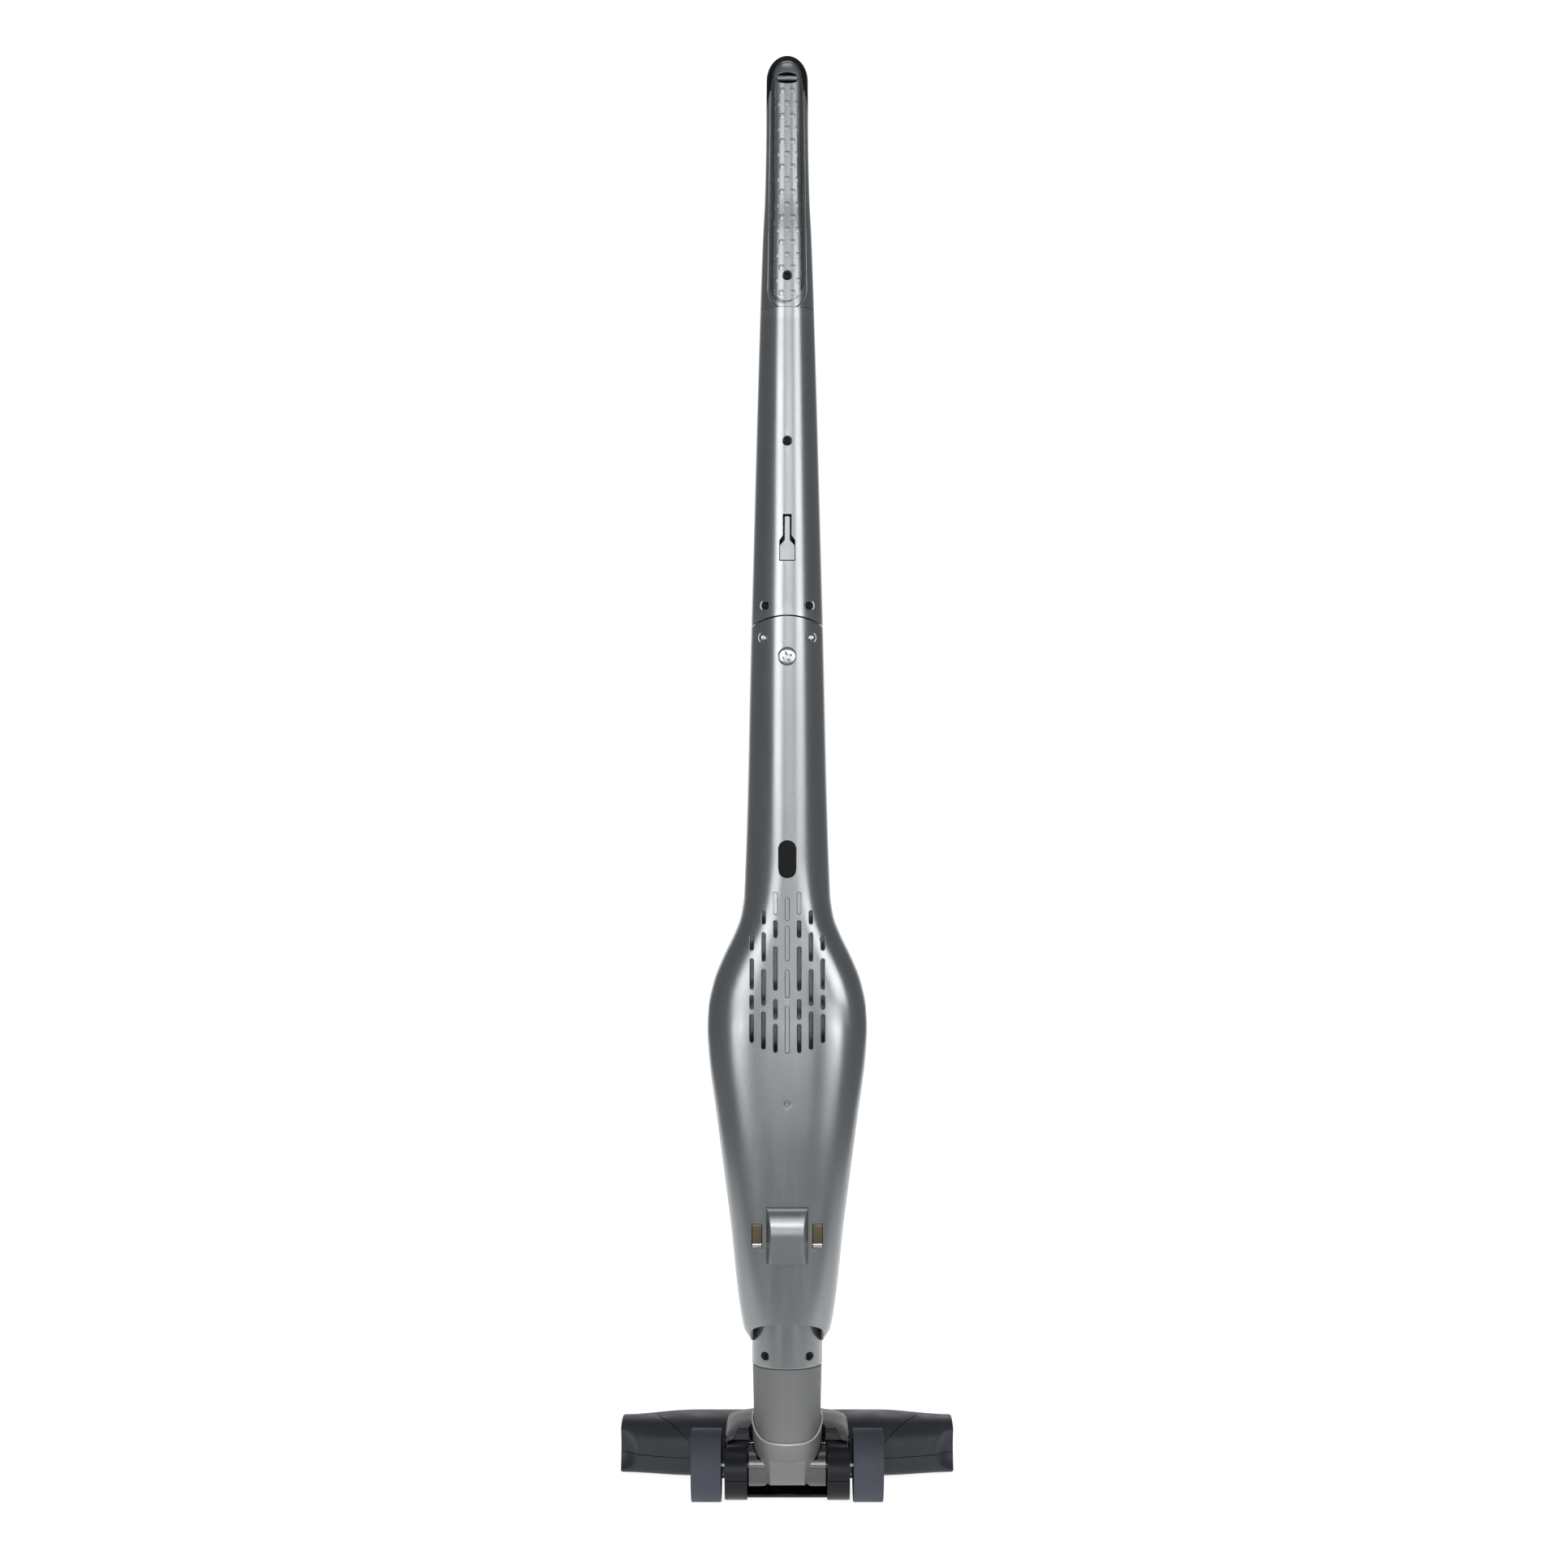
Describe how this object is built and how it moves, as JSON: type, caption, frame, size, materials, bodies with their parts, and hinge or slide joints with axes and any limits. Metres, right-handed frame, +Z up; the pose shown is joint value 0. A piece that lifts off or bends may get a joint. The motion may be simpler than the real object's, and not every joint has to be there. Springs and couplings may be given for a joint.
{
  "type": "cordless stick vacuum",
  "caption": "Upright cordless stick vacuum with a slim handle, docked hand unit and dust cup, pitching and swivelling neck, wheeled floor head and brush roll.",
  "frame": {"origin": "on the floor, under the middle of the whole vacuum's bounding box, standing upright", "axes": "+Z up along the stick, the floor head and the docked hand unit face -Y, the wall hook and vents face +Y, X across the floor head"},
  "size_m": [0.268, 0.1736, 1.1233],
  "materials": {
    "body_silver": "metallic silver-grey moulded plastic, satin gloss",
    "satin_grey": "fine satin grey plastic",
    "slate": "dark slate plastic, fine grain, slight sheen",
    "wheel_grey": "slate-grey hard rubber, matt",
    "black_plastic": "near-black plastic, semi-gloss",
    "piano_black": "high-gloss black",
    "steel": "zinc-plated steel",
    "bronze": "dull bronze contact strip",
    "soft_rubber": "soft black rubber",
    "drum_metallic": "glossy metallic grey plastic",
    "clear": "clear smoked polycarbonate",
    "bristle": "stiff nylon bristle",
    "filter_white": "pleated filter paper",
    "battery_wrap": "shrink-wrapped cells"
  },
  "bodies": {
    "floor_head": {"nozzle_lower_shell": "slate", "nozzle_upper_shell": "slate", "nozzle_end_cover_left": "slate", "nozzle_end_cover_right": "slate", "glide_strip": "soft_rubber", "brush_bearing_left": "black_plastic", "brush_bearing_right": "black_plastic", "brush_motor": "steel", "drive_belt": "soft_rubber", "air_duct": "black_plastic", "cradle_base": "black_plastic", "cradle_cap_left": "black_plastic", "cradle_cap_right": "black_plastic", "neck_shroud": "satin_grey", "axle_pin_left": "steel", "axle_pin_right": "steel"},
    "left_wheel": {"wheel_left": "wheel_grey"},
    "right_wheel": {"wheel_right": "wheel_grey"},
    "brush_roll": {"brush_core": "steel", "bristle_rows": "bristle", "brush_pulley": "black_plastic"},
    "motor_shaft": {"motor_pulley": "steel"},
    "knuckle": {"knuckle_drum": "drum_metallic", "swivel_collar": "satin_grey"},
    "stick": {"neck_tube": "satin_grey", "body_spigot": "body_silver", "body_rear_shell": "body_silver", "charge_contact_left": "bronze", "charge_contact_right": "bronze", "wall_hook": "body_silver", "body_front_frame": "body_silver", "handle_rear_shell": "body_silver", "handle_front_shell": "body_silver", "accessory_clip": "body_silver", "grip_rear_shell": "body_silver", "grip_inlay": "body_silver", "grip_front": "black_plastic", "hang_bar": "steel", "oval_plug": "piano_black", "neck_screw_left": "black_plastic", "neck_screw_right": "black_plastic", "body_screw_left": "steel", "body_screw_right": "steel", "handle_screw_left": "black_plastic", "handle_screw_right": "black_plastic", "handle_mid_screw": "black_plastic", "grip_screw": "black_plastic", "lock_bolt": "steel"},
    "power_switch": {"power_slider": "satin_grey"},
    "dock_button": {"release_button": "black_plastic"},
    "hand_unit": {"hand_unit_case": "satin_grey", "hand_unit_grip": "black_plastic", "suction_motor": "steel", "battery_pack": "battery_wrap"},
    "fan": {"fan_impeller": "black_plastic"},
    "cup": {"dust_cup": "clear", "cup_nozzle": "black_plastic", "filter_frame": "black_plastic", "pleated_filter": "filter_white"},
    "cup_button": {"cup_release_button": "satin_grey"}
  },
  "joints": [
    {"name": "head_pitch", "type": "hinge", "parent": "floor_head", "child": "knuckle", "pos_m": [0, 0.0432, 0.028], "axis": [-1, 0, 0], "range_deg": [0, 65]},
    {"name": "neck_swivel", "type": "hinge", "parent": "knuckle", "child": "stick", "pos_m": [0, 0.0432, 0.08], "axis": [0, 0, 1], "range_deg": [-90, 90]},
    {"name": "left_wheel_spin", "type": "hinge", "parent": "floor_head", "child": "left_wheel", "pos_m": [0.0626, 0.0432, 0.028], "axis": [1, 0, 0], "continuous": true},
    {"name": "right_wheel_spin", "type": "hinge", "parent": "floor_head", "child": "right_wheel", "pos_m": [-0.0626, 0.0432, 0.028], "axis": [1, 0, 0], "continuous": true},
    {"name": "brush_spin", "type": "hinge", "parent": "floor_head", "child": "brush_roll", "pos_m": [0, -0.0608, 0.0195], "axis": [1, 0, 0], "continuous": true},
    {"name": "motor_spin", "type": "hinge", "parent": "floor_head", "child": "motor_shaft", "pos_m": [0.1, -0.0298, 0.0195], "axis": [1, 0, 0], "continuous": true},
    {"name": "power_slide", "type": "slide", "parent": "stick", "child": "power_switch", "axis": [0, 0, 1], "range_m": [0, 0.008]},
    {"name": "dock_button_press", "type": "slide", "parent": "stick", "child": "dock_button", "axis": [0, 1, 0], "range_m": [0, 0.0022], "stiffness_N_per_m": 600, "springref_m": -0.001},
    {"name": "hand_unit_lift_off", "type": "slide", "parent": "stick", "child": "hand_unit", "axis": [0, -1, 0], "range_m": [0, 0.14]},
    {"name": "fan_spin", "type": "hinge", "parent": "hand_unit", "child": "fan", "pos_m": [0, -0.0048, 0.3], "axis": [0, 0, 1], "continuous": true},
    {"name": "cup_pull_off", "type": "slide", "parent": "hand_unit", "child": "cup", "axis": [0, -1, 0], "range_m": [0, 0.1]},
    {"name": "cup_button_press", "type": "slide", "parent": "hand_unit", "child": "cup_button", "axis": [0, 1, 0], "range_m": [0, 0.0018], "stiffness_N_per_m": 600, "springref_m": -0.001}
  ],
  "couplings": [
    {"joint": "motor_spin", "follows": "brush_spin", "ratio": 2}
  ]
}
